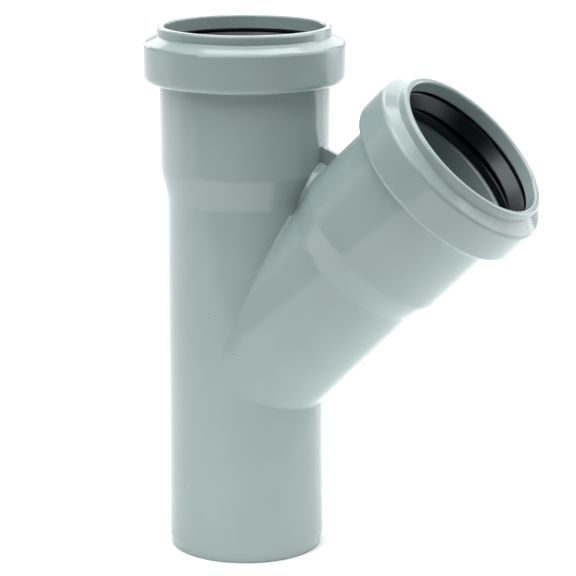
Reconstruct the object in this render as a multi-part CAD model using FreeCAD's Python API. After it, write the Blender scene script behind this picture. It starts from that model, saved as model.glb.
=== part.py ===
import FreeCAD, Part
import math
import os

# Lateral wye fitting of a push-fit waste pipe system, nominal size 50, with an equal branch at
# 45 degrees. All lengths are in millimetres. The origin is the centre of the spigot's end, +Z runs
# up the run towards its socket and the branch leans towards +X.

# Pipe and layout
PIPE_DIAMETER = 50.0          # outside of the spigot and of the pipe between the sockets
PIPE_WALL = 1.8
BRANCH_ANGLE = 45.0           # degrees between the two axes
SPIGOT_TO_CROSSING = 59.2     # spigot end to the point where the axes cross
CROSSING_TO_MOUTH = 110.4     # crossing point to either mouth, the same on both arms
SPIGOT_CHAMFER_WIDTH = 0.75
SPIGOT_CHAMFER_LENGTH = 3.6
SPIGOT_INNER_BREAK = 0.4      # small chamfer inside the spigot's end

# Socket, places measured along the arm from the mouth
SOCKET_PLAY = 0.15            # round the next pipe's spigot
SOCKET_WALL = 2.05
TAPER_START = 45.4            # mouth to the end of the full socket diameter
TAPER_LENGTH = 9.1            # cone between the socket and the pipe
TAPER_ROUND = 6.0

# Collar, with the seal groove inside it
GROOVE_DEPTH = 4.7            # socket bore out to the groove's round wall
GROOVE_FOOT = 15.5            # mouth to the groove's flat lower wall
GROOVE_ROUND = 0.6
LEAD_IN = 0.6                 # chamfer from the groove's lower wall into the socket bore
COLLAR_WALL = 2.05            # outside the groove
COLLAR_FLOOR = 2.0            # below the groove
COLLAR_FOOT_ROUND = 1.9
COLLAR_CREASE_ROUND = 0.5
SHOULDER_EDGE = 5.3           # mouth to the corner where the sloping shoulder meets the side
SHOULDER_EDGE_ROUND = 1.3

# Rim round the mouth, with the land inside it that guides the spigot
MOUTH_PLAY = 0.35             # round the next pipe's spigot
MOUTH_ROUND = 0.7
LAND_LENGTH = 4.25            # mouth to the inner end of the land
RIM_WALL = 2.2
RIM_HEIGHT = 3.1              # mouth to the foot of the rim
RIM_FOOT_ROUND = 0.45
RIM_OUTER_ROUND = 0.9

# Lip seal ring, places measured along the arm from the mouth
RING_CLEARANCE = 0.05         # behind and below the ring in its groove
RING_TOP_GAP = 0.2            # between the ring's top and the sloping wall above it
RING_FRONT = 5.4              # mouth to the front edge of the sloping face
RING_FRONT_PLAY = 0.5         # round the next pipe's spigot
LIP_SQUEEZE = 2.1             # how far the free lip reaches inside the spigot's outside
LIP_DEPTH = 9.9               # mouth to the tip of the lip
LIP_THICKNESS = 1.2
LIP_TIP_ROUND = 0.45
RING_BACK_THICKNESS = 2.1     # behind the valley under the lip
VALLEY_LENGTH = 4.4
BEAD_PLAY = 0.9               # bead that backs the lip, round the next pipe's spigot
BEAD_ROUND = 1.1
RING_EDGE_ROUND = 0.5

# Where the two pipes run into each other
CROTCH_CREASE_ROUND = 0.7     # in the sharp angle above
HEEL_CREASE_ROUND = 1.2       # in the wide angle below
CREASE_SLAB_HALF = 3.5        # half thickness of the slabs that hold the rounded creases
CREASE_SLAB_START = 4.0       # crossing point to the slabs, which leaves them clear of each other
CREASE_SLAB_MARGIN = 1.0      # from the slabs to the start of the tapers

# Crotch between the two sockets, places measured along the line that halves the angle
CROTCH_NOSE_TOP = 74.3        # crossing point to the top of the rounded filling
CROTCH_NOSE_HEIGHT = 12.6     # half height of its elliptic section
CROTCH_NOSE_WIDTH = 19.0
CROTCH_NOSE_REACH = 9.0       # half length across the gap, ends buried in the two walls
WEB_TOP = 78.7                # crossing point to the top edge of the thin web
WEB_THICKNESS = 2.0
WEB_BITE = 1.0                # how far the web runs into the socket walls
WEB_FOOT_HALF = 1.0           # least half width of the web's buried foot

OPENING_OVERSHOOT = 1.0       # how far the forms that open an end pass beyond it
LEAST_EDGE = 1.0              # shorter edges are no creases
PLANE_TOLERANCE = 0.01

PIPE_RADIUS = PIPE_DIAMETER / 2
PIPE_BORE_RADIUS = PIPE_RADIUS - PIPE_WALL
SOCKET_BORE_RADIUS = PIPE_RADIUS + SOCKET_PLAY
SOCKET_RADIUS = SOCKET_BORE_RADIUS + SOCKET_WALL
GROOVE_RADIUS = SOCKET_BORE_RADIUS + GROOVE_DEPTH
COLLAR_RADIUS = GROOVE_RADIUS + COLLAR_WALL
COLLAR_FOOT = GROOVE_FOOT + COLLAR_FLOOR
MOUTH_RADIUS = PIPE_RADIUS + MOUTH_PLAY
RIM_RADIUS = MOUTH_RADIUS + RIM_WALL
SHOULDER_SLOPE = (SHOULDER_EDGE - RIM_HEIGHT) / (COLLAR_RADIUS - RIM_RADIUS)

Z_AXIS = FreeCAD.Vector(0, 0, 1)
Y_AXIS = FreeCAD.Vector(0, 1, 0)
CENTRE = FreeCAD.Vector(0, 0, 0)
CROSSING = FreeCAD.Vector(0, 0, SPIGOT_TO_CROSSING)


def rounded_outline(corners):
    """Closed wire in the XZ plane through corners (radius, height, rounding)."""
    points = [FreeCAD.Vector(radius, 0, height) for radius, height, rounding in corners]
    count = len(corners)
    arcs = []
    for index, (radius, height, rounding) in enumerate(corners):
        corner = points[index]
        if rounding <= 0:
            arcs.append((corner, None, corner))
            continue
        back = (points[index - 1] - corner).normalize()
        ahead = (points[(index + 1) % count] - corner).normalize()
        half_angle = back.getAngle(ahead) / 2
        reach = rounding / math.tan(half_angle)
        bisector = (back + ahead).normalize()
        middle = corner + bisector * (rounding / math.sin(half_angle) - rounding)
        arcs.append((corner + back * reach, middle, corner + ahead * reach))
    edges = []
    for index, (start, middle, end) in enumerate(arcs):
        if middle is not None:
            edges.append(Part.Arc(start, middle, end).toShape())
        next_start = arcs[(index + 1) % count][0]
        if end.distanceToPoint(next_start) > 1e-6:
            edges.append(Part.LineSegment(end, next_start).toShape())
    return Part.Wire(edges)


def turned(corners):
    """Solid of revolution about Z from corners (radius, height, rounding)."""
    return Part.Face(rounded_outline(corners)).revolve(CENTRE, Z_AXIS, 360)


def along_branch(shape):
    """Copy of a shape made upright at the crossing point, leant over to the branch axis."""
    leant = shape.copy()
    leant.rotate(CROSSING, Y_AXIS, BRANCH_ANGLE)
    return leant


def from_mouth(depth):
    """Height in the run's frame of a place at this depth below the run's mouth."""
    return SPIGOT_TO_CROSSING + CROSSING_TO_MOUTH - depth


def socket_outside():
    """Outer corners of one arm from the pipe up to the rounded rim of the mouth."""
    return [
        (PIPE_RADIUS, from_mouth(TAPER_START + TAPER_LENGTH), TAPER_ROUND),
        (SOCKET_RADIUS, from_mouth(TAPER_START), TAPER_ROUND),
        (SOCKET_RADIUS, from_mouth(COLLAR_FOOT), COLLAR_CREASE_ROUND),
        (COLLAR_RADIUS, from_mouth(COLLAR_FOOT), COLLAR_FOOT_ROUND),
        (COLLAR_RADIUS, from_mouth(SHOULDER_EDGE), SHOULDER_EDGE_ROUND),
        (RIM_RADIUS, from_mouth(RIM_HEIGHT), RIM_FOOT_ROUND),
        (RIM_RADIUS, from_mouth(0), RIM_OUTER_ROUND),
    ]


def socket_inside():
    """Inner corners of one arm from the pipe bore up to the guiding land in the mouth."""
    groove_top = LAND_LENGTH + SHOULDER_SLOPE * (GROOVE_RADIUS - MOUTH_RADIUS)
    return [
        (PIPE_BORE_RADIUS, from_mouth(TAPER_START + TAPER_LENGTH), TAPER_ROUND),
        (SOCKET_BORE_RADIUS, from_mouth(TAPER_START), TAPER_ROUND),
        (SOCKET_BORE_RADIUS, from_mouth(GROOVE_FOOT + LEAD_IN), 0),
        (SOCKET_BORE_RADIUS + LEAD_IN, from_mouth(GROOVE_FOOT), 0),
        (GROOVE_RADIUS, from_mouth(GROOVE_FOOT), GROOVE_ROUND),
        (GROOVE_RADIUS, from_mouth(groove_top), GROOVE_ROUND),
        (MOUTH_RADIUS, from_mouth(LAND_LENGTH), 0),
        (MOUTH_RADIUS, from_mouth(MOUTH_ROUND), 0),
    ]


def run_outside():
    """The run as a filled bar: chamfered spigot, pipe, taper, socket and collar."""
    return turned([
        (0, 0, 0),
        (PIPE_RADIUS - SPIGOT_CHAMFER_WIDTH, 0, 0),
        (PIPE_RADIUS, SPIGOT_CHAMFER_LENGTH, 0),
        *socket_outside(),
        (0, from_mouth(0), 0),
    ])


def branch_outside():
    """The branch as a filled bar that starts at the crossing point."""
    return along_branch(turned([
        (0, SPIGOT_TO_CROSSING, 0),
        (PIPE_RADIUS, SPIGOT_TO_CROSSING, 0),
        *socket_outside(),
        (0, from_mouth(0), 0),
    ]))


def edges_in_plane(shape, normal):
    """Edges of a shape that lie in the plane through the crossing point with this normal."""
    return [edge for edge in shape.Edges if edge.Length > LEAST_EDGE
            and all(abs((point - CROSSING).dot(normal)) < PLANE_TOLERANCE
                    for point in edge.discretize(5))]


def crease_slabs():
    """Slabs astride the creases, only as long as both arms are still plain pipe in them."""
    half_angle = math.radians(BRANCH_ANGLE / 2)
    pipe_length = CROSSING_TO_MOUTH - TAPER_START - TAPER_LENGTH - CREASE_SLAB_MARGIN
    crotch_end = (pipe_length - CREASE_SLAB_HALF * math.sin(half_angle)) / math.cos(half_angle)
    crotch_slab = Part.makeBox(
        2 * CREASE_SLAB_HALF, 2 * PIPE_DIAMETER, crotch_end - CREASE_SLAB_START,
        CROSSING + FreeCAD.Vector(-CREASE_SLAB_HALF, -PIPE_DIAMETER, CREASE_SLAB_START))
    heel_slab = Part.makeBox(
        PIPE_DIAMETER, 2 * PIPE_DIAMETER, 2 * CREASE_SLAB_HALF,
        CROSSING + FreeCAD.Vector(CREASE_SLAB_START, -PIPE_DIAMETER, -CREASE_SLAB_HALF))
    return halfway_frame(crotch_slab.fuse(heel_slab))


def rounded_pipes():
    """Two plain pipes that meet with their creases rounded, as filled bars."""
    upper = Part.makeCylinder(PIPE_RADIUS, CROSSING_TO_MOUTH, CROSSING, Z_AXIS)
    lower = Part.makeCylinder(PIPE_RADIUS, SPIGOT_TO_CROSSING, CENTRE, Z_AXIS)
    pipes = upper.fuse([lower, along_branch(upper)]).removeSplitter()
    half_angle = math.radians(BRANCH_ANGLE / 2)
    across_crotch = FreeCAD.Vector(math.cos(half_angle), 0, -math.sin(half_angle))
    across_heel = FreeCAD.Vector(math.sin(half_angle), 0, math.cos(half_angle))
    pipes = pipes.makeFillet(CROTCH_CREASE_ROUND, edges_in_plane(pipes, across_crotch))
    return pipes.makeFillet(HEEL_CREASE_ROUND, edges_in_plane(pipes, across_heel))


def outer_form():
    """Outside of the body as one filled form, with its creases rounded."""
    filled = run_outside().fuse([branch_outside(), crotch_nose(), crotch_web()])
    slabs = crease_slabs()
    return filled.cut(slabs).fuse(rounded_pipes().common(slabs))


def hollow(start):
    """Waterway and socket room of one arm, from this height to past the mouth."""
    core = turned([
        (0, start, 0),
        (PIPE_BORE_RADIUS, start, 0),
        *socket_inside(),
        (MOUTH_RADIUS, from_mouth(-OPENING_OVERSHOOT), 0),
        (0, from_mouth(-OPENING_OVERSHOOT), 0),
    ])
    flare_radius = MOUTH_RADIUS + MOUTH_ROUND
    flare_foot = FreeCAD.Vector(0, 0, from_mouth(MOUTH_ROUND))
    flare = Part.makeCylinder(flare_radius, MOUTH_ROUND + OPENING_OVERSHOOT, flare_foot, Z_AXIS)
    lip = Part.makeTorus(flare_radius, MOUTH_ROUND, flare_foot, Z_AXIS)
    return core.fuse(flare.cut(lip))


def spigot_break():
    """Cone that breaks the sharp inner edge of the spigot's end."""
    return Part.makeCone(
        PIPE_BORE_RADIUS + 2 * SPIGOT_INNER_BREAK, PIPE_BORE_RADIUS, 2 * SPIGOT_INNER_BREAK,
        FreeCAD.Vector(0, 0, -SPIGOT_INNER_BREAK), Z_AXIS)


def halfway_frame(shape):
    """Lean a shape made upright at the crossing point to the line halving the angle."""
    leant = shape.copy()
    leant.rotate(CROSSING, Y_AXIS, BRANCH_ANGLE / 2)
    return leant


def crotch_nose():
    """Rounded filling between the tapers: an elliptic bar laid across the gap."""
    half_width = CROTCH_NOSE_WIDTH / 2
    centre = FreeCAD.Vector(
        -CROTCH_NOSE_REACH, 0, SPIGOT_TO_CROSSING + CROTCH_NOSE_TOP - CROTCH_NOSE_HEIGHT)
    top = centre + Z_AXIS * CROTCH_NOSE_HEIGHT
    side = centre + Y_AXIS * half_width
    if CROTCH_NOSE_HEIGHT > half_width:
        ellipse = Part.Ellipse(top, side, centre)
    else:
        ellipse = Part.Ellipse(side, top, centre)
    section = Part.Face(Part.Wire([ellipse.toShape()]))
    return halfway_frame(section.extrude(FreeCAD.Vector(2 * CROTCH_NOSE_REACH, 0, 0)))


def crotch_web():
    """Thin flat web above the filling, square to the line that halves the angle."""
    half_angle = math.radians(BRANCH_ANGLE / 2)
    depth_in_wall = SOCKET_RADIUS - WEB_BITE
    top = SPIGOT_TO_CROSSING + WEB_TOP
    foot = SPIGOT_TO_CROSSING + CROTCH_NOSE_TOP - CROTCH_NOSE_HEIGHT
    half_top = WEB_TOP * math.tan(half_angle) - depth_in_wall / math.cos(half_angle)
    half_foot = max((CROTCH_NOSE_TOP - CROTCH_NOSE_HEIGHT) * math.tan(half_angle)
                    - depth_in_wall / math.cos(half_angle), WEB_FOOT_HALF)
    corners = [(-half_foot, foot), (half_foot, foot), (half_top, top), (-half_top, top)]
    points = [FreeCAD.Vector(x, -WEB_THICKNESS / 2, z) for x, z in corners]
    face = Part.Face(Part.makePolygon(points + points[:1]))
    return halfway_frame(face.extrude(FreeCAD.Vector(0, WEB_THICKNESS, 0)))


def wye_body():
    """The one-piece moulded body."""
    run_hollow = hollow(-OPENING_OVERSHOOT)
    branch_hollow = along_branch(hollow(SPIGOT_TO_CROSSING))
    inside = run_hollow.fuse([branch_hollow, spigot_break()])
    return outer_form().cut(inside).removeSplitter()


def seal_ring():
    """Lip seal in the run's groove: back, sloping front face, lip, valley and bead."""
    back = GROOVE_RADIUS - RING_CLEARANCE
    foot = from_mouth(GROOVE_FOOT - RING_CLEARANCE)
    groove_top = LAND_LENGTH + SHOULDER_SLOPE * (back - MOUTH_RADIUS)
    front_radius = PIPE_RADIUS + RING_FRONT_PLAY
    lip_radius = PIPE_RADIUS - LIP_SQUEEZE
    lip_steepness = math.atan2(LIP_DEPTH - RING_FRONT, front_radius - lip_radius)
    under_lip_radius = lip_radius + LIP_THICKNESS * math.sin(lip_steepness)
    under_lip_depth = LIP_DEPTH + LIP_THICKNESS * math.cos(lip_steepness)
    valley_radius = back - RING_BACK_THICKNESS
    valley_rise = (valley_radius - under_lip_radius) * math.tan(lip_steepness)
    valley_top = max(under_lip_depth - valley_rise, RING_FRONT + 2 * LIP_THICKNESS)
    valley_foot = from_mouth(valley_top + VALLEY_LENGTH)
    bead_radius = PIPE_RADIUS + BEAD_PLAY
    return turned([
        (back, foot, RING_EDGE_ROUND),
        (back, from_mouth(groove_top + RING_TOP_GAP), RING_EDGE_ROUND),
        (front_radius, from_mouth(RING_FRONT), RING_EDGE_ROUND),
        (lip_radius, from_mouth(LIP_DEPTH), LIP_TIP_ROUND),
        (under_lip_radius, from_mouth(under_lip_depth), LIP_TIP_ROUND),
        (valley_radius, from_mouth(valley_top), RING_EDGE_ROUND),
        (valley_radius, valley_foot, RING_EDGE_ROUND),
        (bead_radius, valley_foot, BEAD_ROUND),
        (bead_radius, foot, RING_EDGE_ROUND),
    ])


def export(name, shape):
    """Write the one solid of a piece to its own file."""
    solid, = shape.Solids
    print(name, "valid", solid.isValid(), "volume", round(solid.Volume, 1), "box", solid.BoundBox)
    solid.exportStep(os.path.join("parts", name + ".step"))


os.makedirs("parts", exist_ok=True)
ring = seal_ring()
export("wye_body", wye_body())
export("run_seal_ring", ring)
export("branch_seal_ring", along_branch(ring))
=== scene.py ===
# %% [markdown]
# # A lateral wye fitting in moulded polypropylene
#
# This scene dresses a waste pipe branch: one grey moulded body and two black rubber seals.
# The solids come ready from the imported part, in metres, with the spigot's end at the origin.
# They could be remodelled here as meshes, but a second model would drift away from the first,
# so the lesson keeps them and spends its effort on finish, light and the view.

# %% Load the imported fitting
import math

import bmesh
import bpy
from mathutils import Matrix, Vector

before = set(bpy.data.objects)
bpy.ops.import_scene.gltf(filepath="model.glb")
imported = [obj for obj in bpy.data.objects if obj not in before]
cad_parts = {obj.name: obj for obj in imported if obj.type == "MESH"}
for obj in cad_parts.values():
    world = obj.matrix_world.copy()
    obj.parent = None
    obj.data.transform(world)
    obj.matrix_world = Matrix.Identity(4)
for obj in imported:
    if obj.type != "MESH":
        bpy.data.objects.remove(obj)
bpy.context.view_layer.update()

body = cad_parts["wye_body"]
seals = [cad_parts["run_seal_ring"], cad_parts["branch_seal_ring"]]
print("pieces:", sorted(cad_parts))

# %% [markdown]
# ## Two small helpers for materials
#
# Colours are picked as sRGB hex values, the way a colour card gives them, while Blender's
# shaders count light linearly. One function turns the first into the second. A second function
# adds a node, fills in its settings and draws its links, so each material below reads as a list
# of steps from the surface's place to its finish.

# %% Colour and node helpers
MM = 0.001


def linear(code):
    """Linear RGBA from an sRGB hex colour."""
    channels = [int(code[place:place + 2], 16) / 255 for place in (1, 3, 5)]
    return [c / 12.92 if c <= 0.04045 else ((c + 0.055) / 1.055) ** 2.4 for c in channels] + [1.0]


def add_node(tree, kind, settings=None, **inputs):
    """Add a node. An input is a value, a socket, or a node whose first output it takes.

    The name i0 means the first input, i1 the second, and From_Min the one called From Min.
    A Mix node takes vectors at i4 and i5 and gives output 1, or colours at i6 and i7 and
    gives output 2.
    """
    node = tree.nodes.new(kind)
    for name, value in (settings or {}).items():
        setattr(node, name, value)
    for name, value in inputs.items():
        numbered = name[0] == "i" and name[1:].isdigit()
        socket = node.inputs[int(name[1:])] if numbered else node.inputs[name.replace("_", " ")]
        if isinstance(value, bpy.types.Node):
            value = value.outputs[0]
        if isinstance(value, bpy.types.NodeSocket):
            tree.links.new(value, socket)
        else:
            socket.default_value = value
    return node


def new_material(name):
    """Empty node material with its output, and the piece's own coordinates in metres."""
    material = bpy.data.materials.new(name)
    material.use_nodes = True
    tree = material.node_tree
    tree.nodes.clear()
    output = add_node(tree, "ShaderNodeOutputMaterial")
    place = add_node(tree, "ShaderNodeTexCoord")
    return material, tree, output, place


print("mid grey #808080 is", round(linear("#808080")[0], 4), "in linear light")

# %% [markdown]
# ## Moulded polypropylene: colour
#
# The body is injection moulded polypropylene, coloured right through. The pigment streaks very
# faintly where the melt flowed, and here and there a dark grain of dust is caught in the skin.
# A flat colour would make the long pipes look drawn. A slow noise tints the grey instead, and
# the specks come from the centres of sparse cells, so that no two sides look alike.

# %% Body colour
STREAK_SIZE = 28 * MM
SPECK_SPACING = 12 * MM
SPECK_RADIUS = 0.22 * MM

polypropylene, tree, output, place = new_material("moulded polypropylene, glossy grey")
streak = add_node(tree, "ShaderNodeTexNoise", Vector=place.outputs["Object"],
                  Scale=1 / STREAK_SIZE, Detail=3.0, Roughness=0.55, Distortion=0.6)
tone = add_node(tree, "ShaderNodeValToRGB", Fac=streak)
tone.color_ramp.elements[0].position = 0.3
tone.color_ramp.elements[0].color = linear("#8C9C9B")
tone.color_ramp.elements[1].position = 0.7
tone.color_ramp.elements[1].color = linear("#90A09F")
cells = add_node(tree, "ShaderNodeTexVoronoi", Vector=place.outputs["Object"],
                 Scale=1 / SPECK_SPACING)
speck = add_node(tree, "ShaderNodeMath", {"operation": "LESS_THAN"},
                 i0=cells.outputs["Distance"], i1=SPECK_RADIUS / SPECK_SPACING)
grey = add_node(tree, "ShaderNodeMix", {"data_type": "RGBA"},
                i0=speck, i6=tone, i7=linear("#5E6868"))
print("specks about every", SPECK_SPACING / MM, "mm through the plastic")

# %% [markdown]
# ## Moulded polypropylene: skin
#
# The tool's steel is polished, so the skin is glossy, with a shallow orange peel from cooling
# and a finer grain on top. These could be real displacement, but a few thousandths of a
# millimetre only ever show in how a reflection wavers, and bump gives that. Each height is
# the real one, next to a pattern that is as wide as it is on the part.

# %% Peel and grain
PEEL_SIZE = 1.6 * MM
PEEL_HEIGHT = 0.004 * MM
GRAIN_SIZE = 0.25 * MM
GRAIN_HEIGHT = 0.001 * MM

peel = add_node(tree, "ShaderNodeTexNoise", Vector=place.outputs["Object"],
                Scale=1 / PEEL_SIZE, Detail=1.0)
grain = add_node(tree, "ShaderNodeTexNoise", Vector=place.outputs["Object"],
                 Scale=1 / GRAIN_SIZE, Detail=2.0)
peel_bump = add_node(tree, "ShaderNodeBump", Height=peel, Distance=PEEL_HEIGHT, Strength=1.0)
grain_bump = add_node(tree, "ShaderNodeBump", Height=grain, Distance=GRAIN_HEIGHT,
                      Strength=1.0, Normal=peel_bump)

# %% [markdown]
# ## Moulded polypropylene: parting line
#
# Two halves of the tool close on the plane that holds both pipes, and leave a hair-thin ridge
# along it on the outside only, because the inside is shaped by round cores. A modelled ridge
# would need its own thin solid. The material knows the plane and which way the surface faces,
# which is enough: a point belongs to the run or to the branch, and it lies outside where its
# normal points away from that pipe's axis.

# %% Parting ridge
RIDGE_HALF_WIDTH = 0.2 * MM
RIDGE_HEIGHT = 0.05 * MM
CROSSING = 59.2 * MM
BRANCH_ANGLE = math.radians(45)
RUN_ACROSS = (1, 0, 0)
BRANCH_ACROSS = (math.cos(BRANCH_ANGLE), 0, -math.sin(BRANCH_ANGLE))
HALFWAY_ACROSS = (math.cos(BRANCH_ANGLE / 2), 0, -math.sin(BRANCH_ANGLE / 2))

from_crossing = add_node(tree, "ShaderNodeVectorMath", {"operation": "SUBTRACT"},
                         i0=place.outputs["Object"], i1=(0, 0, CROSSING))
side = add_node(tree, "ShaderNodeVectorMath", {"operation": "DOT_PRODUCT"},
                i0=from_crossing, i1=HALFWAY_ACROSS)
on_branch = add_node(tree, "ShaderNodeMath", {"operation": "GREATER_THAN"},
                     i0=side.outputs["Value"], i1=0.0)
across = add_node(tree, "ShaderNodeMix", {"data_type": "VECTOR"},
                  i0=on_branch, i4=RUN_ACROSS, i5=BRANCH_ACROSS)
off_axis = add_node(tree, "ShaderNodeVectorMath", {"operation": "DOT_PRODUCT"},
                    i0=from_crossing, i1=across.outputs[1])
facing = add_node(tree, "ShaderNodeVectorMath", {"operation": "DOT_PRODUCT"},
                  i0=place.outputs["Normal"], i1=across.outputs[1])
outward = add_node(tree, "ShaderNodeMath", {"operation": "MULTIPLY"},
                   i0=off_axis.outputs["Value"], i1=facing.outputs["Value"])
outside = add_node(tree, "ShaderNodeMath", {"operation": "GREATER_THAN"}, i0=outward, i1=0.0)
parts = add_node(tree, "ShaderNodeSeparateXYZ", Vector=place.outputs["Object"])
off_plane = add_node(tree, "ShaderNodeMath", {"operation": "ABSOLUTE"}, i0=parts.outputs["Y"])
crest = add_node(tree, "ShaderNodeMapRange", {"interpolation_type": "SMOOTHSTEP"},
                 Value=off_plane, From_Min=0.0, From_Max=RIDGE_HALF_WIDTH, To_Min=1.0, To_Max=0.0)
ridge = add_node(tree, "ShaderNodeMath", {"operation": "MULTIPLY"}, i0=crest, i1=outside)
ridge_bump = add_node(tree, "ShaderNodeBump", Height=ridge, Distance=RIDGE_HEIGHT,
                      Strength=1.0, Normal=grain_bump)

# %% [markdown]
# ## Moulded polypropylene: gloss
#
# Polypropylene reflects as plastics do, with an index of refraction of 1.49. The polished
# skin is nearly a mirror at low angles: in the photograph the table's front edge shows in the
# branch as a clean step. The roughness is set low enough to keep that step, and it wanders a
# little with the streaks, as wiping and handling make it do.

# %% Body finish
SMOOTHEST_SKIN = 0.10
ROUGHEST_SKIN = 0.14

gloss = add_node(tree, "ShaderNodeMapRange", Value=streak,
                 To_Min=SMOOTHEST_SKIN, To_Max=ROUGHEST_SKIN)
skin = add_node(tree, "ShaderNodeBsdfPrincipled", Base_Color=grey.outputs[2],
                Roughness=gloss, IOR=1.49, Normal=ridge_bump)
tree.links.new(skin.outputs["BSDF"], output.inputs["Surface"])
body.data.materials.clear()
body.data.materials.append(polypropylene)
print("body finish:", polypropylene.name, len(tree.nodes), "nodes")

# %% [markdown]
# ## Moulded rubber
#
# The seals are black rubber rings, moulded in a smooth tool and sold with a film of silicone
# grease, so the sloping face shows a soft grey sheen above a nearly black colour. A velvet or
# sheen layer would light the edges in every direction. Plain gloss with a middling roughness
# keeps the sheen where the light is, with the film's faint blue in it, and a mottle shows
# where the grease lies thicker.

# %% Seal finish
RUBBER_GRAIN = 0.4 * MM
RUBBER_GRAIN_HEIGHT = 0.004 * MM
GREASE_PATCH = 6 * MM
SMOOTHEST_RUBBER = 0.24
ROUGHEST_RUBBER = 0.40

rubber, tree, output, place = new_material("moulded rubber, black with a greased sheen")
mottle = add_node(tree, "ShaderNodeTexNoise", Vector=place.outputs["Object"],
                  Scale=1 / GREASE_PATCH, Detail=2.0)
dark = add_node(tree, "ShaderNodeValToRGB", Fac=mottle)
dark.color_ramp.elements[0].color = linear("#06080A")
dark.color_ramp.elements[1].color = linear("#0F1417")
grain = add_node(tree, "ShaderNodeTexNoise", Vector=place.outputs["Object"],
                 Scale=1 / RUBBER_GRAIN, Detail=2.0)
bump = add_node(tree, "ShaderNodeBump", Height=grain, Distance=RUBBER_GRAIN_HEIGHT, Strength=1.0)
grease = add_node(tree, "ShaderNodeMapRange", Value=mottle,
                  To_Min=SMOOTHEST_RUBBER, To_Max=ROUGHEST_RUBBER)
skin = add_node(tree, "ShaderNodeBsdfPrincipled", Base_Color=dark, Roughness=grease, IOR=1.52,
                Specular_Tint=linear("#E2EDF1"), Normal=bump)
tree.links.new(skin.outputs["BSDF"], output.inputs["Surface"])
for seal in seals:
    seal.data.materials.clear()
    seal.data.materials.append(rubber)
print("seal finish:", rubber.name, len(tree.nodes), "nodes")

# %% [markdown]
# ## Table and surround
#
# The photograph shows the fitting on pure white. Its gloss tells the rest: a white table that
# ends 0.31 m in front of the fitting, darkness beyond that edge, and a white sweep behind.
# More light would bleach the fitting, so the white is given only to rays from the camera. The
# rays that carry light meet a softly glowing table near the fitting, and those from the gloss
# meet the sweep behind it. The floor still takes light like paper, so the shadow stays on it.

# %% Floor
FLOOR_SIZE = 12.0
bm = bmesh.new()
bmesh.ops.create_grid(bm, x_segments=1, y_segments=1, size=FLOOR_SIZE / 2)
floor_mesh = bpy.data.meshes.new("studio_floor")
bm.to_mesh(floor_mesh)
bm.free()
floor = bpy.data.objects.new("studio_floor", floor_mesh)
bpy.context.scene.collection.objects.link(floor)
print("floor:", [round(v, 1) for v in floor.dimensions], "m")

# %% Where the table is
TABLE_EDGE = 0.315
TOWARDS_BACK = (-0.4428, 0.8966, 0.0)

paper, tree, output, place = new_material("white studio paper")
rays = add_node(tree, "ShaderNodeLightPath")
distance = add_node(tree, "ShaderNodeVectorMath", {"operation": "LENGTH"},
                    i0=place.outputs["Object"]).outputs["Value"]
depth = add_node(tree, "ShaderNodeVectorMath", {"operation": "DOT_PRODUCT"},
                 i0=place.outputs["Object"], i1=TOWARDS_BACK).outputs["Value"]
on_table = add_node(tree, "ShaderNodeMath", {"operation": "GREATER_THAN"},
                    i0=depth, i1=-TABLE_EDGE)
# Beyond the table's edge the floor is painted #606060 grey: painted shade standing for the
# darkness that the gloss shows in front.
colour = add_node(tree, "ShaderNodeMix", {"data_type": "RGBA"},
                  i0=on_table, i6=linear("#606060"), i7=linear("#F2F2F2"))
print("the table ends", TABLE_EDGE, "m in front")

# %% [markdown]
# ## Glow on the table
#
# A real white table throws light back from a pool round the fitting. A soft glow does that
# here: it fades out before the table's edge and is half as strong behind the fitting. The
# camera and the gloss don't see it, because its mirror image would bleach the foot from above,
# and inside the spigot there is none, or it would light the bores from below. Stronger lamps
# would give the same bounce, but they would bleach the rest of the fitting.

# %% Table glow
TABLE_GLOW = 0.7
REAR_SHARE = 0.5
GLOW_START = 0.14
GLOW_END = 0.50
HALVES_BLEND = 0.05
SPIGOT_RADIUS = 25 * MM

pool = add_node(tree, "ShaderNodeMapRange", {"interpolation_type": "SMOOTHSTEP"}, Value=distance,
                From_Min=GLOW_START, From_Max=GLOW_END, To_Min=TABLE_GLOW, To_Max=0.0)
share = add_node(tree, "ShaderNodeMapRange", {"interpolation_type": "SMOOTHSTEP"}, Value=depth,
                 From_Min=-HALVES_BLEND, From_Max=HALVES_BLEND,
                 To_Min=1.0, To_Max=REAR_SHARE)
shared_pool = add_node(tree, "ShaderNodeMath", {"operation": "MULTIPLY"}, i0=pool, i1=share)
glow = add_node(tree, "ShaderNodeMath", {"operation": "MULTIPLY"}, i0=shared_pool, i1=on_table)
looking = add_node(tree, "ShaderNodeMath", {"operation": "ADD"},
                   i0=rays.outputs["Is Camera Ray"], i1=rays.outputs["Is Glossy Ray"])
lighting = add_node(tree, "ShaderNodeMath", {"operation": "SUBTRACT"}, i0=1.0, i1=looking)
print("table glow", TABLE_GLOW, "in front and", TABLE_GLOW * REAR_SHARE, "behind")

# %% [markdown]
# ## Sweep in the gloss
#
# The bright edges of the pipes are mirror images of the floor behind them. In the photograph
# those edges are as light at the foot as at the top, where the mirrored floor is farther away
# and takes less light from the lamps. So the sweep grows with distance, and only rays from
# the gloss see it. A bent backdrop would do the same, but it would show in other views.

# %% Sweep behind the fitting
SWEEP_NEAR = 0.45
SWEEP_FAR = 1.0
SWEEP_START = 0.25
SWEEP_END = 0.75
BEHIND_BLEND = 0.2

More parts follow.
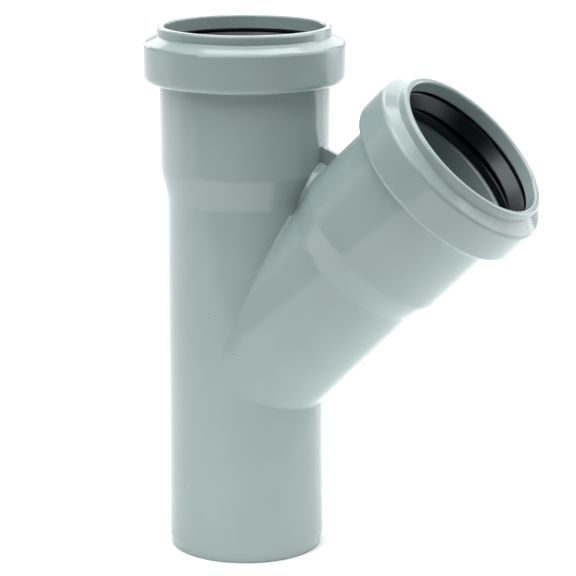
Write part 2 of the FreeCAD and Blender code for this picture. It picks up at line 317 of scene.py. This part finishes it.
behind = add_node(tree, "ShaderNodeMapRange", {"interpolation_type": "SMOOTHSTEP"}, Value=depth,
                  From_Min=-BEHIND_BLEND, From_Max=BEHIND_BLEND)
rise = add_node(tree, "ShaderNodeMapRange", {"interpolation_type": "SMOOTHSTEP"}, Value=distance,
                From_Min=SWEEP_START, From_Max=SWEEP_END, To_Min=SWEEP_NEAR, To_Max=SWEEP_FAR)
sweep = add_node(tree, "ShaderNodeMath", {"operation": "MULTIPLY"}, i0=rise, i1=behind)
shine = add_node(tree, "ShaderNodeMath", {"operation": "MULTIPLY"},
                 i0=sweep, i1=rays.outputs["Is Glossy Ray"])
unseen = add_node(tree, "ShaderNodeMath", {"operation": "MULTIPLY_ADD"},
                  i0=glow, i1=lighting, i2=shine)
round_the_foot = add_node(tree, "ShaderNodeMath", {"operation": "GREATER_THAN"},
                          i0=distance, i1=SPIGOT_RADIUS)
print("sweep from", SWEEP_NEAR, "near the foot to", SWEEP_FAR)

# %% [markdown]
# ## White for the camera
#
# The camera sees the paper with a small lift, which makes it white, and keeps the shadow at
# the foot. The lift grows to full strength with distance and beyond the table's edge, so that
# no grey shows in any view. One strength adds up what each kind of ray sees. Three planes with
# visibility switches could stand in for it, but one floor has no seams.

# %% Floor material
CAMERA_LIFT = 0.12
LIFT_START = 0.30
LIFT_END = 0.90

far = add_node(tree, "ShaderNodeMapRange", {"interpolation_type": "SMOOTHSTEP"}, Value=distance,
               From_Min=LIFT_START, From_Max=LIFT_END, To_Min=CAMERA_LIFT, To_Max=1.0)
off_table = add_node(tree, "ShaderNodeMath", {"operation": "SUBTRACT"}, i0=1.0, i1=on_table)
lift = add_node(tree, "ShaderNodeMath", {"operation": "MAXIMUM"}, i0=far, i1=off_table)
seen = add_node(tree, "ShaderNodeMath", {"operation": "MULTIPLY"},
                i0=lift, i1=rays.outputs["Is Camera Ray"])
strength = add_node(tree, "ShaderNodeMath", {"operation": "MULTIPLY_ADD"},
                    i0=unseen, i1=round_the_foot, i2=seen)
matt = add_node(tree, "ShaderNodeBsdfDiffuse", Color=colour.outputs[2])
white = add_node(tree, "ShaderNodeEmission", Strength=strength)
both = add_node(tree, "ShaderNodeAddShader", i0=matt, i1=white)
tree.links.new(both.outputs[0], output.inputs["Surface"])
floor_mesh.materials.append(paper)
print("camera lift", CAMERA_LIFT, "and", len(tree.nodes), "nodes on the floor")

# %% [markdown]
# ## World
#
# Above the floor the sweep goes on as the world's colour. It is white for the camera, shines in
# the gloss where a reflection looks towards the back, and gives no light of its own, so that
# all the modelling light comes from boxes that can be moved and dimmed.

# %% World
SKY_START = -0.15
SKY_END = 0.25

world = bpy.data.worlds.new("white studio")
bpy.context.scene.world = world
world.use_nodes = True
tree = world.node_tree
tree.nodes.clear()
output = add_node(tree, "ShaderNodeOutputWorld")
rays = add_node(tree, "ShaderNodeLightPath")
direction = add_node(tree, "ShaderNodeTexCoord")
depth = add_node(tree, "ShaderNodeVectorMath", {"operation": "DOT_PRODUCT"},
                 i0=direction.outputs["Generated"], i1=TOWARDS_BACK).outputs["Value"]
behind = add_node(tree, "ShaderNodeMapRange", {"interpolation_type": "SMOOTHSTEP"}, Value=depth,
                  From_Min=SKY_START, From_Max=SKY_END, To_Min=0.0, To_Max=SWEEP_FAR)
shine = add_node(tree, "ShaderNodeMath", {"operation": "MULTIPLY"},
                 i0=behind, i1=rays.outputs["Is Glossy Ray"])
level = add_node(tree, "ShaderNodeMath", {"operation": "MAXIMUM"},
                 i0=shine, i1=rays.outputs["Is Camera Ray"])
air = add_node(tree, "ShaderNodeBackground", Strength=level)
tree.links.new(air.outputs[0], output.inputs["Surface"])
print("world:", len(tree.nodes), "nodes")

# %% [markdown]
# ## Softboxes
#
# The light is a tent of softboxes. Large ones overhead and in front give the soft grey of the
# pipes and leave a dark line under each collar. Smaller ones behind are there for the gloss:
# the sloping shoulders mirror them, and so does the top of the branch's shoulder, which is
# nearly white in the photograph. The low ones at the sides light the far edges. One big dome
# of light would be simpler, but it leaves no highlights. Each box is an area light, and one
# function aims it at the fitting, so a change of place never needs a new angle.

# %% Lamps
AIM = Vector((0.02, 0, 0.09))


def softbox(name, place, size, power):
    """Square area light at a place in metres, aimed at the fitting."""
    light = bpy.data.lights.new(name, "AREA")
    light.shape = "SQUARE"
    light.size = size
    light.energy = power
    lamp = bpy.data.objects.new(name, light)
    lamp.location = place
    lamp.rotation_euler = (AIM - Vector(place)).to_track_quat("-Z", "Y").to_euler()
    bpy.context.scene.collection.objects.link(lamp)


softbox("left_front_box", (-0.30, -0.48, 0.91), size=0.95, power=8.0)
softbox("overhead_box", (0.17, -0.31, 1.03), size=0.95, power=5.8)
softbox("right_front_box", (0.59, -0.04, 0.91), size=0.95, power=1.9)
softbox("right_rear_box", (0.37, 0.54, 0.86), size=0.5, power=3.0)
softbox("rear_box", (-0.20, 0.45, 0.96), size=0.5, power=2.4)
softbox("rear_low_box", (-0.28, 0.86, 0.58), size=0.7, power=1.8)
softbox("top_box", (0.25, 0.11, 1.06), size=0.3, power=1.5)
softbox("right_low_box", (0.86, 0.42, 0.43), size=0.5, power=1.6)
softbox("right_low_rear_box", (0.54, 0.78, 0.27), size=0.5, power=2.0)
softbox("left_low_rear_box", (-0.76, 0.52, 0.43), size=0.5, power=1.4)

# %% [markdown]
# ## Camera
#
# The view was worked out from the photograph: the two round mouths, the collars and both axes
# fix where a camera must have stood. It looks from 26 degrees to the right of the front and
# 13 degrees above, from 0.8 m away, through a long lens, which keeps the pipes nearly parallel.

# %% Camera
VIEW_AZIMUTH = math.radians(26.28)
VIEW_ELEVATION = math.radians(13.21)
VIEW_DISTANCE = 0.8044
VIEW_TARGET = Vector((0.01519, 0, 0.08633))
FOCAL_PIXELS = 2523.87
FRAME_PIXELS = 576
SENSOR_MM = 36.0

back = Vector((math.sin(VIEW_AZIMUTH) * math.cos(VIEW_ELEVATION),
               -math.cos(VIEW_AZIMUTH) * math.cos(VIEW_ELEVATION),
               math.sin(VIEW_ELEVATION)))
lens = bpy.data.cameras.new("camera")
lens.sensor_width = SENSOR_MM
lens.lens = SENSOR_MM * FOCAL_PIXELS / FRAME_PIXELS
camera = bpy.data.objects.new("camera", lens)
camera.location = VIEW_TARGET + VIEW_DISTANCE * back
camera.rotation_euler = back.to_track_quat("Z", "Y").to_euler()
bpy.context.scene.collection.objects.link(camera)
bpy.context.scene.camera = camera
bpy.context.scene.view_settings.view_transform = "Standard"
print("lens", round(lens.lens, 1), "mm at", [round(v, 3) for v in camera.location])
